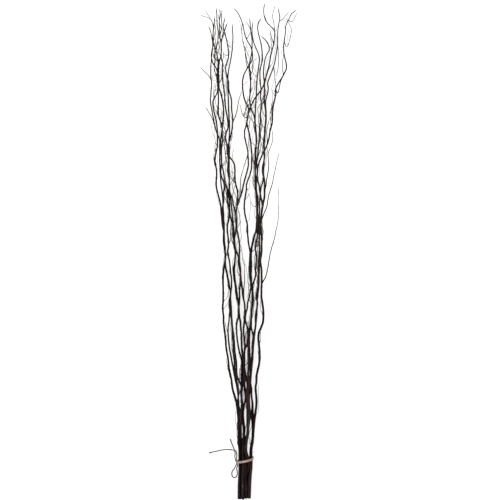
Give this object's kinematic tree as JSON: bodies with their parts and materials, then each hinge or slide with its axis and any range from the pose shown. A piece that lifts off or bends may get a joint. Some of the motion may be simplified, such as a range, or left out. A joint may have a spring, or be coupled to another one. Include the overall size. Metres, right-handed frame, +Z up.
{
  "type": "tied bunch of dried curly willow stems",
  "caption": "Long bunch of dried curly willow stems with fine side twigs, tied near the cut ends with natural twine in a half bow, lying on its side.",
  "frame": {"origin": "centre of the bunch's footprint, on the surface that it lies on", "axes": "+Y along the bunch from the cut ends to the tips, +Z up from the surface"},
  "size_m": [0.2958, 1.481, 0.0978],
  "materials": {
    "bark": "dry dark brown-black bark with a faint satin sheen, paler at worn patches and cut ends",
    "twine": "matt two-ply natural twine with loose fibres"
  },
  "bodies": {
    "root": {"willow_stem_01": "bark", "willow_stem_02": "bark", "willow_stem_03": "bark", "willow_stem_04": "bark", "willow_stem_05": "bark", "willow_stem_06": "bark", "willow_stem_07": "bark", "willow_stem_08": "bark", "willow_stem_09": "bark", "willow_stem_10": "bark", "willow_stem_11": "bark", "willow_stem_12": "bark", "willow_stem_13": "bark", "willow_stem_14": "bark", "willow_stem_15": "bark", "willow_stem_16": "bark", "twine_tie": "twine", "twine_loop": "twine", "twine_tail_long": "twine", "twine_tail_short": "twine"}
  },
  "joints": []
}
